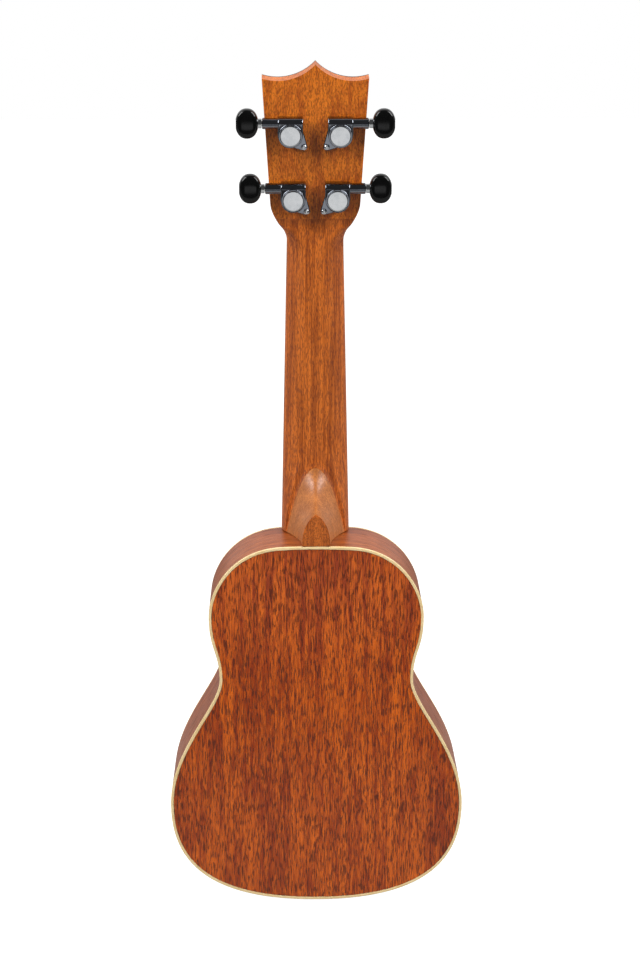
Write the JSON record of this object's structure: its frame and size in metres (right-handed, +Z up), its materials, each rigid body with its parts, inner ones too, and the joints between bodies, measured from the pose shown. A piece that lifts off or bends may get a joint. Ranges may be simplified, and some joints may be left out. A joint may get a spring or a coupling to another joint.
{
  "type": "ukulele",
  "caption": "Soprano ukulele: bound two-bout body, carved neck and heel, pointed crown on the head, and sealed worm-gear tuners whose keys turn the string posts.",
  "frame": {"origin": "on the neck's fretboard face, at the edge of the nut that the strings' sounding length starts from, in the middle of the neck: a wall hanger's fork holds the neck there, under the flare of the head", "axes": "+Z up the neck from the body to the head; +Y towards the back of the instrument; +X across, so that the treble side of the body is at +X seen from the front (string side, -Y)"},
  "size_m": [0.1842, 0.0762, 0.5249],
  "materials": {
    "mahogany_body": "satin open-pore mahogany, orange-brown",
    "mahogany_neck": "satin mahogany, lighter than the body",
    "rosewood": "oiled dark wood",
    "spruce": "bare light wood inside the body",
    "binding": "cream plastic binding",
    "bone": "ivory-white nut and saddle",
    "nylon": "clear nylon string",
    "chrome": "polished chrome plate",
    "black_button": "polished black plastic"
  },
  "bodies": {
    "body": {"neck": "mahogany_neck", "headstock": "mahogany_neck", "heel": "mahogany_neck", "heel_cap": "mahogany_neck", "head_veneer": "rosewood", "fretboard": "rosewood", "bridge": "rosewood", "bridge_plate": "rosewood", "nut": "bone", "saddle": "bone", "soundboard": "mahogany_body", "back": "mahogany_body", "side_bass": "mahogany_body", "side_treble": "mahogany_body", "top_binding": "binding", "back_binding": "binding", "rosette": "binding", "neck_block": "spruce", "tail_block": "spruce", "neck_dowel": "spruce", "top_brace_upper": "spruce", "top_brace_lower": "spruce", "back_brace_upper": "spruce", "back_brace_lower": "spruce", "top_lining_bass": "spruce", "top_lining_treble": "spruce", "back_lining_bass": "spruce", "back_lining_treble": "spruce", "string_1": "nylon", "string_2": "nylon", "string_3": "nylon", "string_4": "nylon", "tuner_housing_lower_bass": "chrome", "tuner_cover_lower_bass": "chrome", "post_bushing_lower_bass": "chrome", "tuner_screw_lower_bass": "chrome", "tuner_housing_lower_treble": "chrome", "tuner_cover_lower_treble": "chrome", "post_bushing_lower_treble": "chrome", "tuner_screw_lower_treble": "chrome", "tuner_housing_upper_bass": "chrome", "tuner_cover_upper_bass": "chrome", "post_bushing_upper_bass": "chrome", "tuner_screw_upper_bass": "chrome", "tuner_housing_upper_treble": "chrome", "tuner_cover_upper_treble": "chrome", "post_bushing_upper_treble": "chrome", "tuner_screw_upper_treble": "chrome"},
    "key_lower_bass": {"tuner_button_lower_bass": "black_button", "worm_shaft_lower_bass": "chrome"},
    "post_lower_bass": {"string_post_lower_bass": "chrome"},
    "key_lower_treble": {"tuner_button_lower_treble": "black_button", "worm_shaft_lower_treble": "chrome"},
    "post_lower_treble": {"string_post_lower_treble": "chrome"},
    "key_upper_bass": {"tuner_button_upper_bass": "black_button", "worm_shaft_upper_bass": "chrome"},
    "post_upper_bass": {"string_post_upper_bass": "chrome"},
    "key_upper_treble": {"tuner_button_upper_treble": "black_button", "worm_shaft_upper_treble": "chrome"},
    "post_upper_treble": {"string_post_upper_treble": "chrome"}
  },
  "joints": [
    {"name": "key_turn_lower_bass", "type": "hinge", "parent": "body", "child": "key_lower_bass", "pos_m": [-0.0136, 0.01924, 0.02644], "axis": [1, 0, 0], "continuous": true},
    {"name": "post_turn_lower_bass", "type": "hinge", "parent": "body", "child": "post_lower_bass", "pos_m": [-0.0136, 0.01391, 0.02012], "axis": [0, 0.9903, -0.1392], "continuous": true},
    {"name": "key_turn_lower_treble", "type": "hinge", "parent": "body", "child": "key_lower_treble", "pos_m": [0.0136, 0.01924, 0.02644], "axis": [1, 0, 0], "continuous": true},
    {"name": "post_turn_lower_treble", "type": "hinge", "parent": "body", "child": "post_lower_treble", "pos_m": [0.0136, 0.01391, 0.02012], "axis": [0, 0.9903, -0.1392], "continuous": true},
    {"name": "key_turn_upper_bass", "type": "hinge", "parent": "body", "child": "key_upper_bass", "pos_m": [-0.0152, 0.02486, 0.06644], "axis": [1, 0, 0], "continuous": true},
    {"name": "post_turn_upper_bass", "type": "hinge", "parent": "body", "child": "post_upper_bass", "pos_m": [-0.0152, 0.01953, 0.06012], "axis": [0, 0.9903, -0.1392], "continuous": true},
    {"name": "key_turn_upper_treble", "type": "hinge", "parent": "body", "child": "key_upper_treble", "pos_m": [0.0152, 0.02486, 0.06644], "axis": [1, 0, 0], "continuous": true},
    {"name": "post_turn_upper_treble", "type": "hinge", "parent": "body", "child": "post_upper_treble", "pos_m": [0.0152, 0.01953, 0.06012], "axis": [0, 0.9903, -0.1392], "continuous": true}
  ],
  "couplings": [
    {"joint": "post_turn_lower_bass", "follows": "key_turn_lower_bass", "ratio": 0.071429},
    {"joint": "post_turn_lower_treble", "follows": "key_turn_lower_treble", "ratio": -0.071429},
    {"joint": "post_turn_upper_bass", "follows": "key_turn_upper_bass", "ratio": 0.071429},
    {"joint": "post_turn_upper_treble", "follows": "key_turn_upper_treble", "ratio": -0.071429}
  ]
}
